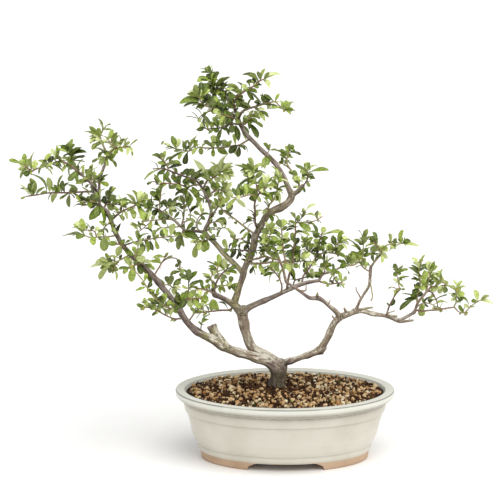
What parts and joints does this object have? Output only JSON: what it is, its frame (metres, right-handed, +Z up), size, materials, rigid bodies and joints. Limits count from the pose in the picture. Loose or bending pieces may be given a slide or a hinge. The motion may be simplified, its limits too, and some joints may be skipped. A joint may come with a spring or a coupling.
{
  "type": "firethorn bonsai in oval glazed pot",
  "caption": "Leafy firethorn bonsai with a forked trunk and long rising limbs, planted in an oval cream glazed pot on an arched foot.",
  "frame": {"origin": "middle of the underside of the whole, on the table", "axes": "+Z up, +X to the right along the pot's long axis as pictured, +Y away from the viewer"},
  "size_m": [0.6302, 0.199, 0.5366],
  "materials": {
    "glaze": "glossy cream glaze over a tan clay foot",
    "screen": "black plastic mesh",
    "soil": "loose dark bonsai soil with tan and grey grit",
    "bark": "grey brown bark with pale patches and lichen",
    "foliage": "small leathery green leaves on thin brown twigs"
  },
  "bodies": {
    "root": {"pot": "glaze", "screen_left": "screen", "screen_right": "screen", "soil": "soil", "trunk": "bark", "spray_crown_left": "foliage", "spray_crown_left_2": "foliage", "spray_far_left_high": "foliage", "spray_far_left_mid": "foliage", "spray_left_knot_front": "foliage", "spray_left_knot_back": "foliage", "spray_left_inner": "foliage", "spray_left_low": "foliage", "spray_left_reach": "foliage", "spray_left_bright": "foliage", "spray_left_bright_2": "foliage", "spray_left_shelf": "foliage", "spray_left_arc": "foliage", "spray_low_left": "foliage", "spray_low_climber": "foliage", "spray_mid_mass": "foliage", "spray_side_high": "foliage", "spray_upper_reach": "foliage", "spray_upper_low": "foliage", "spray_upper_post": "foliage", "spray_upper_brown": "foliage", "spray_upper_nest": "foliage", "spray_light_crown": "foliage", "spray_light_low": "foliage", "spray_leader_heart": "foliage", "spray_leader_right": "foliage", "spray_leader_green": "foliage", "spray_leader_long": "foliage", "spray_center_low": "foliage", "spray_center_low_2": "foliage", "spray_center_post": "foliage", "spray_center_right": "foliage", "spray_right_up_end": "foliage", "spray_right_up_low": "foliage", "spray_right_up_shelf": "foliage", "spray_pale_right": "foliage", "spray_pale_left": "foliage", "spray_right_thin": "foliage", "spray_right_high": "foliage", "spray_right_bright": "foliage", "spray_right_brown": "foliage", "spray_right_arcs": "foliage", "spray_right_lower": "foliage", "spray_far_right": "foliage", "spray_stub_top": "foliage", "spray_stub_left": "foliage", "spray_top_right": "foliage", "spray_top_right_low": "foliage", "spray_top_back": "foliage", "spray_top_left": "foliage", "spray_top_mid": "foliage", "spray_top_front": "foliage", "spray_top_low": "foliage"}
  },
  "joints": []
}
